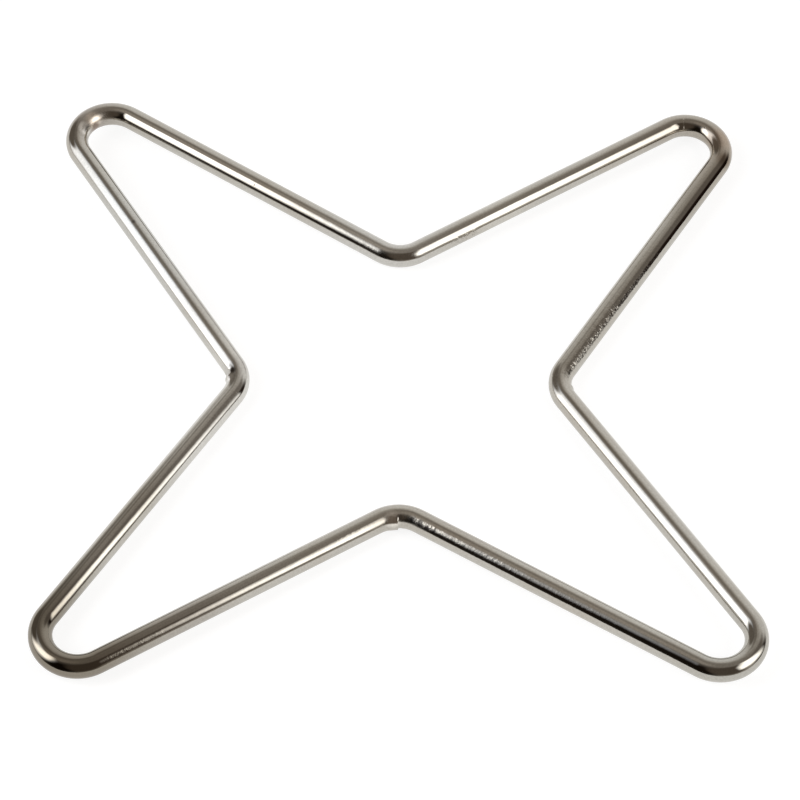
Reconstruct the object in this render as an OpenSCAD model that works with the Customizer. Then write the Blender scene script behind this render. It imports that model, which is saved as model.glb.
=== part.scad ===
// Stove ring: one length of round steel wire, bent into a four-pointed star,
// butt-welded into a closed loop and plated.

/* [Wire] */
// Diameter of the round wire
wire_d = 5; // [3:0.1:7]

/* [Star] */
// Width of the star over its tips, the same both ways
star_w = 150; // [120:1:220]
// Clear width between opposite inner bends
throat_w = 64; // [45:1:75]

/* [Bends] */
// Radius on the inside of each tip bend
tip_bend_r = 5.25; // [3:0.25:9]
// Radius on the inside of each inner bend
inner_bend_r = 5; // [3:0.25:9]

/* [As bent] */
// Height of the tip bends above the inner bends, because the star is slightly dished
tip_lift = 1.9; // [0:0.1:5]
// Extra height of the back left and front right tips, which the other two tips lack
twist = 0.7; // [0:0.1:1.5]

/* [Weld and bend marks] */
// How far the weld's lip stands out on the inside of the front bend
lip_h = 0.45; // [0.1:0.05:0.8]
// Width of the weld's lip along the wire
lip_w = 1.6; // [1:0.1:2.4]
// How far the bending tool's pinch marks stand out on the left and right inner bends
pinch_h = 0.3; // [0.1:0.05:0.8]
// Width of a pinch mark along the wire
pinch_w = 1.3; // [1:0.1:2.4]

/* [Hidden] */
$fn = 64;

wire_r = wire_d / 2;
POINTS = 4;
CORNERS = 2 * POINTS;

// Radii of the wire's centreline in the bends, and how far their centres lie from the middle
tip_r = tip_bend_r + wire_r;
inner_r = inner_bend_r + wire_r;
tip_c = star_w / 2 - wire_r - tip_r; // along X and along Y
inner_c = throat_w / 2 + wire_r + inner_r; // along one axis

// A leg runs straight between the two bends and crosses from one side of its bend to the other,
// so it is the inner tangent of the two circles
span = [tip_c - inner_c, tip_c];
leg_angle = atan2(span.y, span.x) - asin((tip_r + inner_r) / norm(span));

// Corners where the legs' centrelines would meet if the wire had no bend radius
inner_corner = inner_c - inner_r / sin(leg_angle);
tip_corner = inner_corner * sin(leg_angle) / (sin(leg_angle) - cos(leg_angle));

// Heights: a tip's corner lies beyond its bend, so it stands higher than the bend does by reach
tip_apex = tip_c * sqrt(2) + tip_r;
notch = inner_corner / sqrt(2);
reach = (tip_corner * sqrt(2) - notch) / (tip_apex - notch);
inner_apex = inner_c - inner_r;
seat_drop = tip_lift * reach * (inner_apex - inner_corner) / (tip_corner - inner_corner);
seat_z = wire_r - seat_drop; // puts the lowest point of the inner bends at zero

// Corner i: even numbers are tips, from the back right round to the left
function is_tip(i) = i % 2 == 0;
function tip_height(i) = reach * (tip_lift + (i % 4 == 0 ? -twist : twist));
function corner(i) =
    is_tip(i)
        ? [
            tip_corner * sign(cos(45 + 45 * i)),
            tip_corner * sign(sin(45 + 45 * i)),
            seat_z + tip_height(i)
        ]
        : [
            inner_corner * cos(45 + 45 * i),
            inner_corner * sin(45 + 45 * i),
            seat_z
        ];
function bend_radius(i) = is_tip(i) ? tip_r : inner_r;

function unit(v) = v / norm(v);
function toward(from, to) = unit(corner(to % CORNERS) - corner(from % CORNERS));
function before(i) = toward(i, i + CORNERS - 1);
function after(i) = toward(i, i + 1);
function half_angle(i) = acos(before(i) * after(i)) / 2;
function setback(i) = bend_radius(i) / tan(half_angle(i));
function bend_start(i) = corner(i % CORNERS) + before(i % CORNERS) * setback(i % CORNERS);
function bend_end(i) = corner(i % CORNERS) + after(i % CORNERS) * setback(i % CORNERS);
function bend_centre(i) =
    corner(i) + unit(before(i) + after(i)) * bend_radius(i) / sin(half_angle(i));

// Places children with their origin at o, their X along x and their Z along z
module in_frame(o, x, z) {
    y = cross(z, x);
    multmatrix([
        [x.x, y.x, z.x, o.x],
        [x.y, y.y, z.y, o.y],
        [x.z, y.z, z.z, o.z]
    ]) children();
}

// Children of bend i: origin at its centre, X towards where the bend starts, Z along its axis
module at_bend(i) {
    c = bend_centre(i);
    x = unit(bend_start(i) - c);
    in_frame(c, x, unit(cross(x, bend_end(i) - c))) children();
}

module bend(i) {
    at_bend(i) rotate_extrude(angle = 180 - 2 * half_angle(i))
        translate([bend_radius(i), 0]) circle(wire_r);
}

// A leg stops just short of the bends, and a ball a hair wider than the wire joins it to each
module leg(i) {
    gap = 0.05;
    hair = 0.01;
    start = bend_end(i);
    z = unit(bend_start(i + 1) - start);
    x = unit(cross([0, 0, 1], z));
    length = norm(bend_start(i + 1) - start);
    in_frame(start, x, z) {
        translate([0, 0, gap]) cylinder(h = length - 2 * gap, r = wire_r);
        for (h = [0, length]) translate([0, 0, h]) sphere(wire_r + hair);
    }
}

// Rounded lip that stands out of the wire by height on the inside of inner bend i,
// at an angle in degrees past the middle of the bend
module lip(i, past, height, width) {
    // A ring round the wire, a little smaller than it and set towards the inside of the bend
    rim = (width * width / 4 + height * height) / (2 * height);
    shrink = 0.05;
    at_bend(i) rotate([0, 0, 90 - half_angle(i) + past])
        translate([bend_radius(i) - height - shrink, 0, 0])
            rotate([90, 0, 0])
                rotate_extrude() translate([wire_r - shrink - rim, 0]) circle(rim);
}

module star_wire() {
    color([0.75, 0.74, 0.71]) union() {
        for (i = [0 : CORNERS - 1]) {
            bend(i);
            leg(i);
        }
        lip(5, -7, lip_h, lip_w);
        lip(7, -10, pinch_h, pinch_w);
        lip(3, 12, pinch_h, pinch_w);
    }
}

star_wire();
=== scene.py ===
"""Stove ring: a bright plated wire star, bent, butt-welded and lying on a pale studio floor."""

import math

import bpy
from mathutils import Matrix, Vector


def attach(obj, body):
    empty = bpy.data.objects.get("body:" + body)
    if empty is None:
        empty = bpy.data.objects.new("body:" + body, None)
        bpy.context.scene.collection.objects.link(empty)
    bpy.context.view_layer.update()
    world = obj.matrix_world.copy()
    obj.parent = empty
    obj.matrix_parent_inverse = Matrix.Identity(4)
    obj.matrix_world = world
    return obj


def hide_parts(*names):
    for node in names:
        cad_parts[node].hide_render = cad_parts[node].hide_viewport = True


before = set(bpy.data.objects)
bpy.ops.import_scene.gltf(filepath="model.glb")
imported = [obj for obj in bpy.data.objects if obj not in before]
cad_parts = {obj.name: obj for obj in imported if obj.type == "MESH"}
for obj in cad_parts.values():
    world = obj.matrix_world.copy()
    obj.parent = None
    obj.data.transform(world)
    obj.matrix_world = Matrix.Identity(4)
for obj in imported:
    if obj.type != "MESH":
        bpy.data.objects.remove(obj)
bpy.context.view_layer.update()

MM = 0.001

# The star, as in the part's source
WIRE_D = 5 * MM
STAR_W = 150 * MM
THROAT_W = 64 * MM
TIP_BEND_R = 5.25 * MM  # on the inside of the bend
INNER_BEND_R = 5 * MM
TIP_LIFT = 1.9 * MM
TWIST = 0.7 * MM
WIRE_R = WIRE_D / 2

# Mesh of the swept wire: rings along it, sides round it, and points on each bend before the loop
# is divided evenly
RINGS = 3000
SIDES = 32
BEND_STEPS = 512

# Camera, measured from the ring's outline
CAMERA_AZIMUTH = 1.41  # degrees round the object from the front
CAMERA_ELEVATION = 54.06
CAMERA_ROLL = 1.85
CAMERA_DISTANCE = 712.7 * MM
CAMERA_AIM = (0.23 * MM, -2.8 * MM, 0.0)
LENS = 149.66  # mm on a 36 mm sensor

# Marks on the wire, placed by their distance past the middle of their bend, counterclockwise. A
# profile tells where along the wire a mark starts, is full, begins to fall and ends (mm from there)
WELD_PAST = -0.1 * MM
WELD_STEP = 0.38 * MM
WELD_PROFILE = (-5.0, -0.9, -0.15, 0.05)
PINCH_HEIGHT = 0.24 * MM
RIGHT_PINCH_PAST = -2.0 * MM
RIGHT_PINCH_PROFILE = (-1.4, -0.2, 0.2, 1.2)
RIGHT_PINCH_SHARE = 0.75  # of the pinch height
LEFT_PINCH_PAST = -0.1 * MM
LEFT_PINCH_PROFILE = (-1.0, -0.2, 0.2, 1.1)
CREASE_PROFILE = (-2.7, -1.7, -1.4, -0.6)
CREASE_SHARE = -1.1  # of the pinch height, cut into the wire
MARKED_SIDE = (0.94, -0.35)  # across and up: the outer side, a little below its middle

# Unevenness of the bent wire
RIPPLE_HEIGHT = 0.04 * MM
RIPPLE_LENGTH = 6 * MM
WRINKLE_HEIGHT = 0.02 * MM
WRINKLES_PER_METRE = 700.0
WRINKLED_FULL, WRINKLED_GONE = 5 * MM, 10 * MM  # along the wire from the middle of a tip bend

# Finish of the plating
PLATE_COLOUR = (0.495, 0.475, 0.43)
WARM_PLATE_COLOUR = (0.44, 0.402, 0.345)
PIT_COLOUR = (0.12, 0.1, 0.08)
SMOOTH_GLOSS = (0.045, 0.075)  # least and most roughness of the plating where nothing scuffed it
DULL_GLOSS = 0.2  # what a scuff of dullness 1 adds to it
# Heights on the skin (mm)
PEEL_HEIGHT = 0.009
DIE_LINE_HEIGHT = 0.0022
SCUFF_HEIGHT = 0.05
HOLE_DEPTH = 0.015
# Patches of plate colour, partly tarnish and partly painted light: painted highlights where
# lighter, painted dark reflections where darker. The middle, the reaches up to which it is full and
# gone (mm), and its colour there
PLATE_TONES_AND_PAINTED_LIGHT = [
    ((-56, 36, 5), 10, 34, (0.53, 0.52, 0.485)),
    ((-5, 37, 4), 4, 24, (0.55, 0.535, 0.5)),
    ((22.4, 46, 4.4), 2, 12, (0.56, 0.54, 0.49)),
    ((-37, -11, 4), 8, 30, (0.625, 0.61, 0.57)),
    ((-34.9, 2.1, 4.4), 1, 4.5, (0.52, 0.5, 0.465)),
    ((-43, -61, 5), 2, 14, (0.41, 0.385, 0.345)),
    ((-67, -71, 5), 4, 28, (0.24, 0.214, 0.174)),
    ((-70, 69, 6), 0, 12, (0.4, 0.368, 0.33)),
    ((66, 50, 5), 2, 13, (0.42, 0.395, 0.35)),
    ((71, 64, 5), 2, 22, (0.385, 0.35, 0.3)),
    ((66, -71, 5), 0, 20, (0.445, 0.43, 0.39)),
    # Painted highlight left of the weld and painted dark reflection on its seam
    ((-1.3, -36.4, 4.2), 0.7, 2.3, (0.85, 0.81, 0.74)),
    ((0.1, -36.1, 4.2), 0.3, 1.1, (0.3, 0.285, 0.26)),
    # At the left pinch: painted dark reflection for the dark triangle by the crease, painted
    # highlight for the white spot
    ((-35.7, 1.2, 4.8), 0.3, 1.1, (0.1, 0.09, 0.08)),
    ((-36.2, -0.6, 4.4), 0.3, 1.3, (0.85, 0.83, 0.8)),
    ((-58.6, 40.1, 6.5), 0.1, 0.7, (0.26, 0.25, 0.24)),
    # On the top-left tip: lighter plate and a painted peach highlight in the hollow of the bend
    ((-70.6, 66.5, 6.9), 0.9, 2.2, (0.85, 0.82, 0.77)),
    ((-69.0, 69.0, 6.8), 0.8, 2.5, (0.85, 0.76, 0.66)),
    ((-68.6, 68.4, 5.3), 0.5, 1.6, (0.27, 0.215, 0.175)),
    ((72.9, 61, 5.5), 0.5, 3.0, (0.24, 0.19, 0.145)),
    ((72.5, 66.5, 5.6), 1.0, 5.0, (0.4, 0.33, 0.265)),
    # Right of the weld: painted dark reflections in place of a small unevenness of the wire
    ((2.9, -36.8, 4.6), 0.4, 1.0, (0.1, 0.095, 0.085)),
    ((4.3, -37.6, 4.65), 0.4, 1.0, (0.1, 0.095, 0.085)),
    ((5.7, -38.6, 4.55), 0.25, 0.8, (0.12, 0.11, 0.1)),
    ((7.1, -39.5, 4.55), 0.2, 0.7, (0.15, 0.14, 0.13)),
]

# Where bending and grinding scuffed the plating: from one point to another on the skin and how
# far to each side (mm), then how pitted and how dull it is
SCUFFS = [
    ((3, -36.7, 4.9), (7, -39.2, 4.9), 1.2, 0.7, 0.3),
    ((7, -39.4, 4.8), (24, -49.5, 5.4), 1.5, 0.35, 0.2),
    ((24, -49.5, 5.4), (44, -63, 5.8), 1.6, 0.2, 0.1),
    ((36.5, 1.6, 4.4), (47, 19.5, 4.8), 2.3, 1.2, 0.15),
    ((36.5, 1.6, 5.0), (56, 34, 5.4), 4.5, 0.25, 0.3),
    ((47, 19.5, 4.8), (54, 30, 4.8), 2.0, 0.7, 0.2),
    ((12.4, 37.8, 2.9), (16.6, 40.4, 3.0), 1.9, 2.8, 0.2),
    ((-9, 36.3, 4.0), (-4.8, 34, 4.3), 1.5, 0.2, 0.0),
    ((-58, -71.4, 5.4), (-48, -65.8, 5.2), 1.8, 0.18, 0.1),
    ((-13, -42.2, 5), (-7.6, -39.2, 4.8), 1.6, 0.12, 0.0),
    ((-70, 68.5, 6.9), (-67.5, 70, 6.7), 5.0, 0.07, 1.3),
    ((36, -0.5, 4.6), (38, 0.5, 4.6), 3.0, 0.3, 0.7),
    ((34, -2, 4.5), (35, 2, 4.5), 8.0, 0.0, 0.55),
    ((-4, -37, 4.5), (5, -37, 4.5), 6.0, 0.0, 0.7),
    ((-5, 35, 4.5), (4, 35, 4.5), 8.0, 0.0, 0.45),
    ((-36, 2, 4.5), (-36, -4, 4.5), 6.0, 0.0, 0.35),
    ((73, 66, 5), (72, 71, 5), 8.0, 0.1, 0.4),
    ((-0.3, -36.8, 3.6), (0.3, -35.4, 4.8), 0.9, 0.3, 0.7),
    ((64.15, 72.0, 6.0), (64.2, 70.5, 5.0), 0.45, 0.0, 1.5),
]
# Fine lines on the skin: from one point to another, width and height (mm)
FINE_LINES = [
    ((-0.2, -37, 3.2), (0.2, -35.5, 4.8), 0.25, 0.012),
    ((0.7, -33.2, 4.8), (0.7, -35.9, 4.7), 0.25, 0.012),
    ((1.3, -33.4, 4.8), (1.3, -36.0, 4.6), 0.25, 0.016),
    ((64.15, 72.2, 6.0), (64.2, 70.5, 5.0), 0.27, 0.055),
    ((39.8, -15.3, 3.5), (40.1, -14.9, 4.0), 0.3, 0.03),
]


class Tree:
    """Adds nodes to a node tree. An input is given a plain value or the socket that feeds it."""

    def __init__(self, tree):
        self.tree = tree

    def node(self, kind, inputs=None, **settings):
        made = self.tree.nodes.new(kind)
        for name, value in settings.items():
            setattr(made, name, value)
        for key, value in (inputs or {}).items():
            self.feed(made.inputs[key], value)
        return made

    def feed(self, socket, value):
        if isinstance(value, bpy.types.NodeSocket):
            self.tree.links.new(value, socket)
        else:
            socket.default_value = value

    def math(self, operation, *values, clamp=False):
        inputs = dict(enumerate(values))
        made = self.node("ShaderNodeMath", inputs, operation=operation, use_clamp=clamp)
        return made.outputs[0]

    def product(self, value, *factors):
        for factor in factors:
            value = self.math("MULTIPLY", value, factor)
        return value

    def vector(self, operation, *values):
        made = self.node("ShaderNodeVectorMath", dict(enumerate(values)), operation=operation)
        scalar = operation in ("DOT_PRODUCT", "LENGTH", "DISTANCE")
        return made.outputs["Value" if scalar else "Vector"]

    def scaled(self, vector, factor):
        inputs = {0: vector, "Scale": factor}
        return self.node("ShaderNodeVectorMath", inputs, operation="SCALE").outputs[0]

    def ramp(self, value, start, end, low=0.0, high=1.0, smooth=True):
        """low up to start, high from end on, and an even or eased slope between."""
        kind = "SMOOTHSTEP" if smooth else "LINEAR"
        inputs = {"Value": value, "From Min": start, "From Max": end, "To Min": low, "To Max": high}
        return self.node("ShaderNodeMapRange", inputs, interpolation_type=kind).outputs["Result"]

    def mixed(self, share, first, second):
        made = self.node("ShaderNodeMix", {"Factor": share}, data_type="RGBA")
        colours = [socket for socket in made.inputs if socket.type == "RGBA"]
        self.feed(colours[0], first)
        self.feed(colours[1], second)
        return next(socket for socket in made.outputs if socket.type == "RGBA")

    def noise(self, place, scale, detail=2.0, roughness=0.5):
        inputs = {"Vector": place, "Scale": scale, "Detail": detail, "Roughness": roughness}
        return self.node("ShaderNodeTexNoise", inputs).outputs[0]


def unit(azimuth, elevation):
    """Direction at azimuth degrees from the back towards the right, and elevation degrees up."""
    a, e = math.radians(azimuth), math.radians(elevation)
    return Vector((math.sin(a) * math.cos(e), math.cos(a) * math.cos(e), math.sin(e)))


def add_camera():
    """Looks at the aim from the front, tilted down, with the small roll of a hand-held shot."""
    data = bpy.data.cameras.new("camera")
    data.lens = LENS
    camera = bpy.data.objects.new("camera", data)
    back = unit(180 + CAMERA_AZIMUTH, CAMERA_ELEVATION)
    right = Vector((0, 0, 1)).cross(back).normalized()
    up = back.cross(right)
    roll = Matrix.Rotation(math.radians(CAMERA_ROLL), 3, "Z")
    turned = Matrix((right, up, back)).transposed() @ roll
    place = Vector(CAMERA_AIM) + back * CAMERA_DISTANCE
    camera.matrix_world = Matrix.Translation(place) @ turned.to_4x4()
    bpy.context.scene.collection.objects.link(camera)
    bpy.context.scene.camera = camera


def star_corners():
    """Where the straight legs' centrelines would meet, from the weld's bend round to the right,
    and the bend radius of the centreline at each."""
    tip_r, inner_r = TIP_BEND_R + WIRE_R, INNER_BEND_R + WIRE_R
    tip_c = STAR_W / 2 - WIRE_R - tip_r
    inner_c = THROAT_W / 2 + WIRE_R + inner_r
    span = (tip_c - inner_c, tip_c)
    leg_angle = math.atan2(span[1], span[0]) - math.asin((tip_r + inner_r) / math.hypot(*span))
    inner_corner = inner_c - inner_r / math.sin(leg_angle)
    slope = math.sin(leg_angle) - math.cos(leg_angle)
    tip_corner = inner_corner * math.sin(leg_angle) / slope
    notch = inner_corner / math.sqrt(2)
    tip_apex = tip_c * math.sqrt(2) + tip_r
    reach = (tip_corner * math.sqrt(2) - notch) / (tip_apex - notch)
    inner_apex = inner_c - inner_r
    share = (inner_apex - inner_corner) / (tip_corner - inner_corner)
    seat_z = WIRE_R - TIP_LIFT * reach * share

    corners = []
    for eighth in range(8):
        angle = math.radians(-90 + 45 * eighth)
        if eighth % 2:
            lift = TIP_LIFT + (TWIST if eighth % 4 == 1 else -TWIST)
            x, y = (math.copysign(tip_corner, f) for f in (math.cos(angle), math.sin(angle)))
            corners.append(((x, y, seat_z + reach * lift), tip_r))
        else:
            x, y = inner_corner * math.cos(angle), inner_corner * math.sin(angle)
            corners.append(((x, y, seat_z), inner_r))
    return corners


def half_bend(corners):
    """Length of the centreline from the start of the first corner's bend to its middle."""
    (last, _), (here, radius), (after, _) = corners[-1], corners[0], corners[1]
    turn = (Vector(here) - Vector(last)).angle(Vector(after) - Vector(here))
    return radius * turn / 2


def add_input(tree, name, kind, value=None):
    socket = tree.interface.new_socket(name, in_out="INPUT", socket_type=kind)
    if value is not None:
        socket.default_value = value


def hump(t, place, profile):
    """0 outside a profile along the wire, and 1 where it is full."""
    start, full, fall, end = (distance * MM for distance in profile)
    return t.product(t.ramp(place, start, full), t.ramp(place, fall, end, 1, 0))


def past(t, along, length, share, distance):
    """Distance along the loop from the point that lies at a share of it plus a distance."""
    point = t.math("ADD", t.math("MULTIPLY", length, share), distance)
    half = t.math("MULTIPLY", length, 0.5)
    return t.math("WRAP", t.math("SUBTRACT", along, point), half, t.math("MULTIPLY", half, -1))


def marks(t, given, along, length, face, height):
    """How far the marks of making stand out of the wire. face is 1 on the side that faces away
    from the star's middle and -1 on the other side, and height is 1 on top of the wire."""
    across, up = MARKED_SIDE
    toward = t.math("ADD", t.math("MULTIPLY", face, across), t.math("MULTIPLY", height, up))
    marked = t.product(t.ramp(toward, 0.1, 0.8), t.ramp(height, -1.0, -0.6))  # not underneath

    # The weld: the left end stands out beyond the right one and drops to it in a step
    at_weld = past(t, along, length, 0, WELD_PAST)
    step = t.product(hump(t, at_weld, WELD_PROFILE), given["Weld Step"], marked)

    # Pinches from the bending tool, with a crease beside the left one
    at_right = past(t, along, length, 0.25, RIGHT_PINCH_PAST)
    at_left = past(t, along, length, 0.75, LEFT_PINCH_PAST)
    right_pinch = t.math("MULTIPLY", hump(t, at_right, RIGHT_PINCH_PROFILE), RIGHT_PINCH_SHARE)
    pinches = t.math("ADD", right_pinch, hump(t, at_left, LEFT_PINCH_PROFILE))
    crease = t.math("MULTIPLY", hump(t, at_left, CREASE_PROFILE), CREASE_SHARE)
    pinches = t.product(t.math("ADD", pinches, crease), given["Pinch Height"], marked)

    # The metal is gathered into faint wrinkles in the hollow of each tip bend
    eighth = t.math("MULTIPLY", length, 1 / 8)
    to_tip = t.math("SUBTRACT", eighth, t.math("PINGPONG", along, eighth))
    near_tip = t.ramp(to_tip, WRINKLED_FULL, WRINKLED_GONE, 1, 0)
    hollow = t.math("MULTIPLY", near_tip, t.ramp(face, -0.3, -0.95))
    gathers = t.node(
        "ShaderNodeTexNoise",
        {"W": along, "Scale": WRINKLES_PER_METRE, "Detail": 1.0},
        noise_dimensions="1D",
    ).outputs[0]
    depth = t.math("MULTIPLY", hollow, given["Wrinkle Height"])
    wrinkles = t.math("MULTIPLY", t.math("SUBTRACT", gathers, 0.5), depth)
    return t.math("ADD", t.math("ADD", step, pinches), wrinkles)


def bent_wire_tree():
    """Bends a closed loop of corners into a round wire: fillets each corner by its own radius,
    sweeps the round section along it, and raises the weld and the tool marks on it."""
    tree = bpy.data.node_groups.new("bent_wire", "GeometryNodeTree")
    add_input(tree, "Corners", "NodeSocketGeometry")
    add_input(tree, "Wire Diameter", "NodeSocketFloat", WIRE_D)
    add_input(tree, "First Bend Middle", "NodeSocketFloat", 0.0)
    add_input(tree, "Rings", "NodeSocketInt", RINGS)
    add_input(tree, "Sides", "NodeSocketInt", SIDES)
    add_input(tree, "Ripple Height", "NodeSocketFloat", RIPPLE_HEIGHT)
    add_input(tree, "Ripple Length", "NodeSocketFloat", RIPPLE_LENGTH)
    add_input(tree, "Weld Step", "NodeSocketFloat", WELD_STEP)
    add_input(tree, "Pinch Height", "NodeSocketFloat", PINCH_HEIGHT)
    add_input(tree, "Wrinkle Height", "NodeSocketFloat", WRINKLE_HEIGHT)
    add_input(tree, "Material", "NodeSocketMaterial")
    tree.interface.new_socket("Wire", in_out="OUTPUT", socket_type="NodeSocketGeometry")

    t = Tree(tree)
    given = t.node("NodeGroupInput").outputs
    wire_r = t.math("DIVIDE", given["Wire Diameter"], 2.0)

    loop = t.node("GeometryNodeMeshToCurve", {"Mesh": given["Corners"]}).outputs[0]
    radius = t.node(
        "GeometryNodeInputNamedAttribute",
        {"Name": "bend_radius"},
        data_type="FLOAT",
    ).outputs[0]
    bent = t.node(
        "GeometryNodeFilletCurve",
        {"Curve": loop, "Radius": radius, "Count": BEND_STEPS},
        mode="POLY",
    ).outputs[0]
    even = t.node(
        "GeometryNodeResampleCurve",
        {"Curve": bent, "Count": given["Rings"]},
        mode="COUNT",
    ).outputs[0]
    level = t.node("GeometryNodeSetCurveNormal", {"Curve": even}, mode="Z_UP").outputs[0]

    capture = t.node("GeometryNodeCaptureAttribute", {"Geometry": level}, domain="POINT")
    for kind, name in (("VECTOR", "centre"), ("VECTOR", "outward"), ("FLOAT", "turn")):
        capture.capture_items.new(kind, name)
    t.feed(capture.inputs["centre"], t.node("GeometryNodeInputPosition").outputs[0])
    t.feed(capture.inputs["outward"], t.node("GeometryNodeInputNormal").outputs[0])
    t.feed(capture.inputs["turn"], t.node("GeometryNodeSplineParameter").outputs["Factor"])
    section = t.node(
        "GeometryNodeCurvePrimitiveCircle",
        {"Resolution": given["Sides"], "Radius": wire_r},
        mode="RADIUS",
    ).outputs[0]
    swept = t.node(
        "GeometryNodeCurveToMesh",
        {"Curve": capture.outputs["Geometry"], "Profile Curve": section},
    ).outputs[0]

    # Each point's place on the wire while it was still straight: across, up and along
    position = t.node("GeometryNodeInputPosition").outputs[0]
    offset = t.vector("SUBTRACT", position, capture.outputs["centre"])
    across = t.vector("DOT_PRODUCT", offset, capture.outputs["outward"])
    up = t.node("ShaderNodeSeparateXYZ", {0: offset}).outputs["Z"]
    length = t.node("GeometryNodeCurveLength", {0: even}).outputs[0]
    from_start = t.math("MULTIPLY", capture.outputs["turn"], length)
    along = t.math("WRAP", t.math("SUBTRACT", from_start, given["First Bend Middle"]), length, 0.0)
    straight = t.node("ShaderNodeCombineXYZ", {"X": across, "Y": up, "Z": along}).outputs[0]

    skin = t.vector("NORMALIZE", offset)
    stretched = t.vector("MULTIPLY", straight, (1.0, 1.0, 0.35))
    wave = t.noise(stretched, t.math("DIVIDE", 1.0, given["Ripple Length"]), detail=1.0)
    ripple = t.math("MULTIPLY", t.math("SUBTRACT", wave, 0.5), given["Ripple Height"])
    face = t.math("DIVIDE", across, wire_r)
    height = t.math("DIVIDE", up, wire_r)
    raised = t.math("ADD", ripple, marks(t, given, along, length, face, height))
    shaped = t.node(
        "GeometryNodeSetPosition",
        {"Geometry": swept, "Offset": t.scaled(skin, raised)},
    ).outputs[0]
    marked = t.node(
        "GeometryNodeStoreNamedAttribute",
        {"Geometry": shaped, "Name": "straight", "Value": straight},
        data_type="FLOAT_VECTOR",
        domain="POINT",
    ).outputs[0]
    smooth = t.node("GeometryNodeSetShadeSmooth", {"Geometry": marked}).outputs[0]
    real = t.node("GeometryNodeRealizeInstances", {0: smooth}).outputs[0]
    plated = t.node("GeometryNodeSetMaterial", {"Geometry": real, "Material": given["Material"]})
    t.node("NodeGroupOutput", {"Wire": plated.outputs[0]})
    return tree


def set_input(modifier, name, value):
    for item in modifier.node_group.interface.items_tree:
        if item.item_type == "SOCKET" and item.in_out == "INPUT" and item.name == name:
            modifier[item.identifier] = value


def add_wire(material):
    """The ring itself: its corners as a loop of edges, bent and swept by the node tree."""
    corners = star_corners()
    mesh = bpy.data.meshes.new("star_corners")
    edges = [(i, (i + 1) % len(corners)) for i in range(len(corners))]
    mesh.from_pydata([place for place, _ in corners], edges, [])
    radii = mesh.attributes.new("bend_radius", "FLOAT", "POINT")
    radii.data.foreach_set("value", [radius for _, radius in corners])
    wire = bpy.data.objects.new("plated_star", mesh)
    bpy.context.scene.collection.objects.link(wire)

    modifier = wire.modifiers.new("bent_wire", "NODES")
    modifier.node_group = bent_wire_tree()
    set_input(modifier, "Wire Diameter", WIRE_D)
    set_input(modifier, "First Bend Middle", half_bend(corners))
    set_input(modifier, "Rings", RINGS)
    set_input(modifier, "Sides", SIDES)
    set_input(modifier, "Ripple Height", RIPPLE_HEIGHT)
    set_input(modifier, "Ripple Length", RIPPLE_LENGTH)
    set_input(modifier, "Weld Step", WELD_STEP)
    set_input(modifier, "Pinch Height", PINCH_HEIGHT)
    set_input(modifier, "Wrinkle Height", WRINKLE_HEIGHT)
    set_input(modifier, "Material", material)
    graph = bpy.context.evaluated_depsgraph_get()
    plain = bpy.data.meshes.new_from_object(
        wire.evaluated_get(graph), preserve_all_data_layers=True, depsgraph=graph
    )
    wire.modifiers.clear()
    wire.data = plain
    bpy.data.meshes.remove(mesh)
    plain.name = "plated_star"
    return wire


def new_material(name):
    material = bpy.data.materials.new(name)
    material.use_nodes = True
    material.node_tree.nodes.clear()
    return material, Tree(material.node_tree)


def near_line(t, place, start, end, reach):
    """1 on the line from start to end and 0 from reach away."""
    start, run = Vector(start), Vector(end) - Vector(start)
    from_start = t.vector("SUBTRACT", place, tuple(start))
    along = t.vector("DOT_PRODUCT", from_start, tuple(run))
    share = t.math("DIVIDE", along, run.length_squared, clamp=True)
    foot = t.vector("ADD", t.scaled(tuple(run), share), tuple(start))
    return t.ramp(t.vector("DISTANCE", place, foot), 0.0, reach, 1.0, 0.0)


def scuffing(t, place):
    """How pitted and how dull the plating is. The pits keep to streaks with ragged edges."""
    ragged = t.ramp(t.noise(place, 0.8, detail=3.0, roughness=0.65), 0.4, 0.62, 0.1, 1.0)
    pitted = dulled = 0.0
    for start, end, reach, pits, dullness in SCUFFS:
        share = near_line(t, place, start, end, reach)
        pitted = t.math("MAXIMUM", pitted, t.product(share, ragged, pits))
        dulled = t.math("MAXIMUM", dulled, t.math("MULTIPLY", share, dullness))
    return pitted, dulled


def skin_height(t, place, straight, rough, holes):
    """Relief of the skin in millimetres: orange peel and die lines drawn out along the wire, the
    roughness of the scuffs, the fine lines and single pinholes."""
    peel = t.noise(t.vector("MULTIPLY", straight, (1.0, 1.0, 0.3)), 1.3)
    die_lines = t.noise(t.vector("MULTIPLY", straight, (1.0, 1.0, 0.02)), 4.0, roughness=0.6)
    relief = t.math("MULTIPLY", peel, PEEL_HEIGHT)
    relief = t.math("ADD", relief, t.math("MULTIPLY", die_lines, DIE_LINE_HEIGHT))
    relief = t.math("ADD", relief, rough)
    for start, end, width, rise in FINE_LINES:
        line = t.math("MULTIPLY", near_line(t, place, start, end, width), rise)
        relief = t.math("ADD", relief, line)
    return t.math("SUBTRACT", relief, t.math("MULTIPLY", holes, HOLE_DEPTH))


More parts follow.
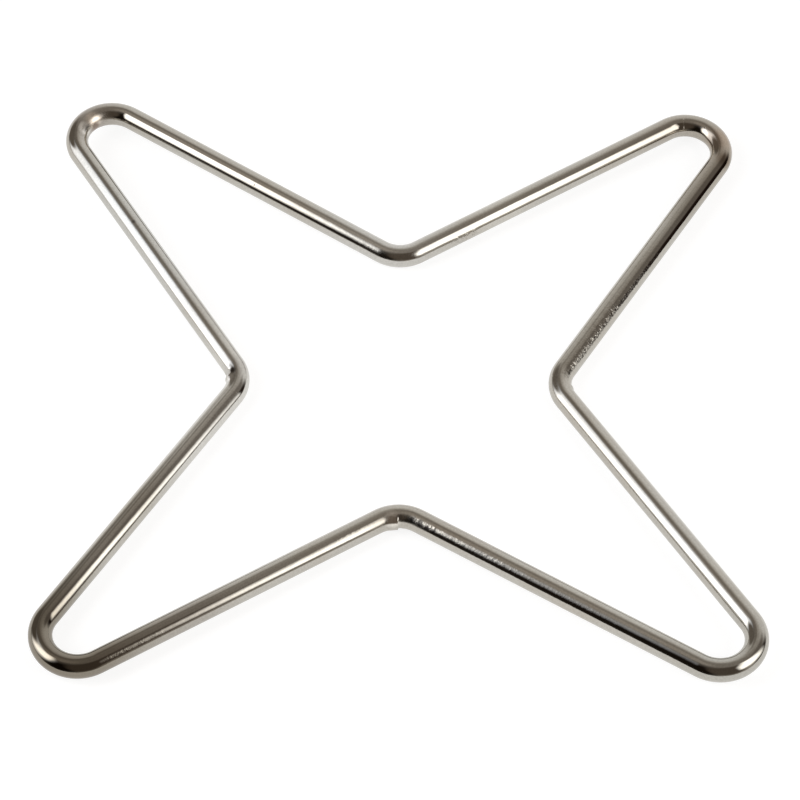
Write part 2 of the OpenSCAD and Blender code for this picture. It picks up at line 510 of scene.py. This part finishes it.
def plate_and_painted_light_colour(t, place, dulled, darkened_spots):
    """Plate that is warmer in patches and where it is dull, with listed patches that are partly
    tarnish and partly painted highlights and painted dark reflections, and darkened by a fine
    mottle and at pinholes and scuff specks."""
    patchy = t.ramp(t.noise(place, 0.07), 0.4, 0.65)
    patchy = t.math("MULTIPLY", patchy, 0.4)
    warm = t.math("MAXIMUM", patchy, t.math("MULTIPLY", dulled, 0.6), clamp=True)
    colour = t.mixed(warm, (*PLATE_COLOUR, 1), (*WARM_PLATE_COLOUR, 1))
    # Listed patches: tarnish, and painted highlights and painted dark reflections
    for middle, full, gone, tone in PLATE_TONES_AND_PAINTED_LIGHT:
        away = t.vector("DISTANCE", place, middle)
        colour = t.mixed(t.ramp(away, full, gone, 1.0, 0.0), colour, (*tone, 1))
    mottle = t.ramp(t.noise(place, 2.6, detail=1.0), 0.35, 0.65, 0.0, 0.12)
    # Darkened at pinholes and at specks in the scuffs
    return t.mixed(t.math("MAXIMUM", darkened_spots, mottle), colour, (*PIT_COLOUR, 1))


def plating_material():
    """Bright plating over drawn wire. Its patterns are laid out in millimetres: what follows the
    wire in the space of the wire while it was straight, and all else in the ring's own space."""
    material, t = new_material("bright_plating")
    place = t.scaled(t.node("ShaderNodeTexCoord").outputs["Object"], 1 / MM)
    straight = t.node("ShaderNodeAttribute", attribute_name="straight").outputs["Vector"]
    straight = t.scaled(straight, 1 / MM)

    pitted, dulled = scuffing(t, place)
    grain = t.noise(place, 1.7, detail=3.0, roughness=0.75)
    cells = t.node("ShaderNodeTexVoronoi", {"Vector": place, "Scale": 0.12})
    holes = t.ramp(cells.outputs["Distance"], 0.012, 0.028, 1.0, 0.0)
    rough = t.product(grain, SCUFF_HEIGHT, pitted)
    height = skin_height(t, place, straight, rough, holes)
    bump = t.node("ShaderNodeBump", {"Strength": 1.0, "Distance": MM, "Height": height}).outputs[0]

    specks = t.math("MULTIPLY", pitted, 0.2)
    specks = t.math("MULTIPLY", t.ramp(grain, 0.5, 0.62), specks, clamp=True)
    colour = plate_and_painted_light_colour(t, place, dulled, t.math("MAXIMUM", specks, holes))
    smear = t.noise(place, 0.35, detail=3.0, roughness=0.6)
    smear = t.ramp(smear, 0.3, 0.7, *SMOOTH_GLOSS)
    gloss = t.math("ADD", smear, t.math("MULTIPLY", dulled, DULL_GLOSS))
    shader = t.node(
        "ShaderNodeBsdfPrincipled",
        {"Base Color": colour, "Metallic": 1.0, "Roughness": gloss, "Normal": bump},
    )
    t.node("ShaderNodeOutputMaterial", {"Surface": shader.outputs[0]})
    return material


def seen_as_white(t):
    """1 for the rays that show the background: straight from the camera, or off metal or glass."""
    path = t.node("ShaderNodeLightPath").outputs
    seen = t.math("ADD", path["Is Camera Ray"], path["Is Glossy Ray"], clamp=True)
    return t.math("ADD", seen, path["Is Transmission Ray"], clamp=True)


# The floor: its size, and how strongly it glows up to the near and from the far distance (m)
FLOOR_SIZE = 6.0
FLOOR_GLOW = (0.83, 0.6)
FLOOR_GLOW_RANGE = (0.2, 0.7)
FLOOR_COLOUR = (0.8, 0.8, 0.8, 1)
SHADED_COLOUR = (0.3, 0.3, 0.3, 1)  # the part of the white that the ring's shadow can take away


def add_floor():
    """Pale floor whose own glow makes it white around the ring, and a little less far away."""
    material, t = new_material("pale_floor")
    plain = t.node("ShaderNodeBsdfDiffuse", {"Color": FLOOR_COLOUR}).outputs[0]
    shaded = t.node("ShaderNodeBsdfDiffuse", {"Color": SHADED_COLOUR}).outputs[0]
    away = t.vector("LENGTH", t.node("ShaderNodeTexCoord").outputs["Object"])
    strength = t.ramp(away, *FLOOR_GLOW_RANGE, *FLOOR_GLOW)
    glow = t.node("ShaderNodeEmission", {"Strength": strength}).outputs[0]
    white = t.node("ShaderNodeAddShader", {0: shaded, 1: glow}).outputs[0]
    both = t.node("ShaderNodeMixShader", {0: seen_as_white(t), 1: plain, 2: white}).outputs[0]
    t.node("ShaderNodeOutputMaterial", {"Surface": both})
    bpy.ops.mesh.primitive_plane_add(size=FLOOR_SIZE, location=(0, 0, 0))
    floor = bpy.context.object
    floor.name = "floor"
    floor.data.materials.append(material)


# Room seen in the metal: its walls, its ceiling, and patches that are lighter or darker, each with
# its direction (azimuth, elevation), its colour, and the angles up to which it is full and gone
WALL = (0.5, 0.462, 0.413)
CEILING = (0.315, 0.283, 0.252)
CEILING_FROM, CEILING_FULL = 40, 80
PATCHES = [
    ((20.4, -1.8), (0.975, 0.963, 0.951), 26.6, 64),
    ((85.2, 13.5), (0.02, 0.012, 0.008), 6.7, 30.9),
    ((-144.5, 30), (0.014, 0.01, 0.007), 17.5, 56.5),
    ((-58.5, 32.8), (0.04, 0.033, 0.027), 18.8, 33.6),
    ((-82.7, 34.6), (1.98, 2.05, 2.2), 6.3, 38.3),
    ((154.9, 42.1), (0.114, 0.091, 0.072), 27.6, 44.6),
    ((-50.5, 27.6), (0.191, 0.168, 0.143), 14.2, 26.4),
    ((69.8, 47), (0.213, 0.189, 0.168), 7.3, 23.8),
    ((-21.5, 51.7), (0.25, 0.224, 0.196), 0, 15.4),
    ((-60, 73), (0.45, 0.405, 0.36), 3, 18),
]


def add_room():
    world = bpy.data.worlds.new("room")
    world.use_nodes = True
    world.node_tree.nodes.clear()
    t = Tree(world.node_tree)
    way = t.node("ShaderNodeTexCoord").outputs["Generated"]
    height = t.node("ShaderNodeSeparateXYZ", {0: way}).outputs["Z"]
    rise = [math.sin(math.radians(angle)) for angle in (CEILING_FROM, CEILING_FULL)]
    colour = t.mixed(t.ramp(height, *rise), (*WALL, 1), (*CEILING, 1))
    for direction, tint, full, gone in PATCHES:
        near = t.vector("DOT_PRODUCT", way, tuple(unit(*direction)))
        share = t.ramp(near, math.cos(math.radians(gone)), math.cos(math.radians(full)))
        colour = t.mixed(share, colour, (*tint, 1))
    room = t.node("ShaderNodeBackground", {"Color": colour}).outputs[0]
    white = t.node("ShaderNodeBackground", {"Color": (1, 1, 1, 1)}).outputs[0]
    camera = t.node("ShaderNodeLightPath").outputs["Is Camera Ray"]
    both = t.node("ShaderNodeMixShader", {0: camera, 1: room, 2: white}).outputs[0]
    t.node("ShaderNodeOutputWorld", {"Surface": both})
    bpy.context.scene.world = world


def soft_edge(t, place, edge, soft, rising):
    """From 0 to 1 over the width soft about the edge, or from 1 to 0."""
    levels = (0.0, 1.0) if rising else (1.0, 0.0)
    return t.ramp(place, edge - soft / 2, edge + soft / 2, *levels)


# Upright softboxes beside the ring, facing it: where each stands, the ranges in which it has more
# than half its brightness, the widths over which its edges fade, and its brightness, 1 being
# white. slant is how far its lower and its upper edge drop for each metre towards the back.
SOFTBOXES = {
    "left_softbox": dict(
        x=-0.404, y=(-0.239, 0.014), z=(0.084, 0.896), fade_y=(0.119, 0.16), fade_z=(0.16, 0.407),
        slant=(0.587, -1.556), glow=2.8,
    ),
    "right_softbox": dict(
        x=0.399, y=(-0.419, -0.02), z=(0.062, 0.84), fade_y=(0.16, 0.129), fade_z=(0.16, 0.5),
        slant=(0.411, -0.716), glow=2.8,
    ),
}
LAMP_COLOUR = (1, 0.985, 0.96)


def add_softbox(name, x, y, z, fade_y, fade_z, slant, glow):
    low = Vector((x, y[0] - fade_y[0] / 2, 0))
    high = Vector((x, y[1] + fade_y[1] / 2, z[1] + fade_z[1] / 2))
    data = bpy.data.lights.new(name, "AREA")
    data.shape = "RECTANGLE"
    data.size, data.size_y = high.y - low.y, high.z - low.z
    data.color = LAMP_COLOUR
    data.energy = glow * data.size * data.size_y * math.pi
    data.use_nodes = True
    t = Tree(data.node_tree)
    side = math.copysign(1, x)
    uv = t.node("ShaderNodeSeparateXYZ", {0: t.node("ShaderNodeTexCoord").outputs["UV"]}).outputs
    ends = (low.y, high.y) if side > 0 else (high.y, low.y)
    across = t.ramp(uv["X"], 0, 1, *ends, smooth=False)
    height = t.ramp(uv["Y"], 0, 1, low.z, high.z, smooth=False)
    lower, upper = (t.math("ADD", height, t.math("MULTIPLY", across, drop)) for drop in slant)
    share = 1.0
    for place, edge, fade, rising in (
        (across, y[0], fade_y[0], True),
        (across, y[1], fade_y[1], False),
        (lower, z[0], fade_z[0], True),
        (upper, z[1], fade_z[1], False),
    ):
        share = t.math("MULTIPLY", share, soft_edge(t, place, edge, fade, rising))
    t.feed(data.node_tree.nodes["Emission"].inputs["Strength"], share)
    lamp = bpy.data.objects.new(name, data)
    axes = Matrix(((0, side, 0), (0, 0, 1), (side, 0, 0))).transposed()
    lamp.matrix_world = Matrix.Translation((low + high) / 2) @ axes.to_4x4()
    bpy.context.scene.collection.objects.link(lamp)


add_camera()
bpy.context.scene.view_settings.view_transform = "Standard"
plating = plating_material()
wire = add_wire(plating)
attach(wire, "root")
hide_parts("star_wire")
add_floor()
add_room()
for name, sizes in SOFTBOXES.items():
    add_softbox(name, **sizes)
